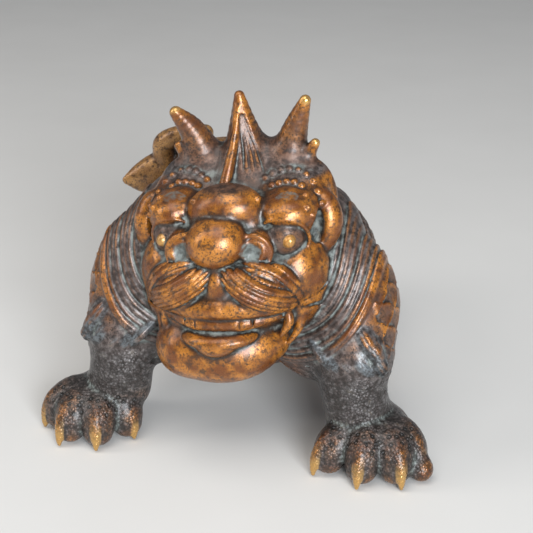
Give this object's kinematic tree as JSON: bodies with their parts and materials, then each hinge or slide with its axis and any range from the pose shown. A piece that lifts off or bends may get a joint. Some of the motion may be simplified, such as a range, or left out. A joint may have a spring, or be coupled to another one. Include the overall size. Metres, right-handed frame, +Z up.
{
  "type": "foo dog statue",
  "caption": "Crouching horned guardian beast cast in patinated bronze, with a whiskered face, splayed forepaws and a curled tail; it stands on its paws.",
  "frame": {"origin": "on the floor under the middle of the whole object's box", "axes": "+Z up, -Y the way the beast faces, +X the beast's own left side"},
  "size_m": [0.1628, 0.178, 0.144],
  "materials": {
    "amber_bronze": "polished warm brown patina with dark recesses",
    "umber_bronze": "dark brown patina with grey-green verdigris in the grooves",
    "grey_bronze": "dull grey-black patina, rubbed to brass on the claws",
    "golden_bronze": "rubbed golden brown",
    "bare_brass": "bare drawn rod, sealed inside"
  },
  "bodies": {
    "root": {"torso_shell": "umber_bronze", "head_shell": "amber_bronze", "lower_jaw": "amber_bronze", "crown_horn": "umber_bronze", "left_horn": "umber_bronze", "right_horn": "umber_bronze", "left_ear": "amber_bronze", "right_ear": "amber_bronze", "left_eye": "amber_bronze", "right_eye": "amber_bronze", "left_foreleg": "umber_bronze", "right_foreleg": "umber_bronze", "left_forepaw": "grey_bronze", "right_forepaw": "grey_bronze", "left_hind_leg": "umber_bronze", "right_hind_leg": "umber_bronze", "left_hind_paw": "grey_bronze", "right_hind_paw": "grey_bronze", "tail_stem": "golden_bronze", "tail_curl": "golden_bronze", "tail_leaf": "golden_bronze", "upper_neck_pin": "bare_brass", "left_neck_pin": "bare_brass", "right_neck_pin": "bare_brass", "left_jaw_pin": "bare_brass", "right_jaw_pin": "bare_brass", "left_fore_ankle_pin": "bare_brass", "right_fore_ankle_pin": "bare_brass", "left_hind_ankle_pin": "bare_brass", "right_hind_ankle_pin": "bare_brass", "tail_pin": "bare_brass"}
  },
  "joints": []
}
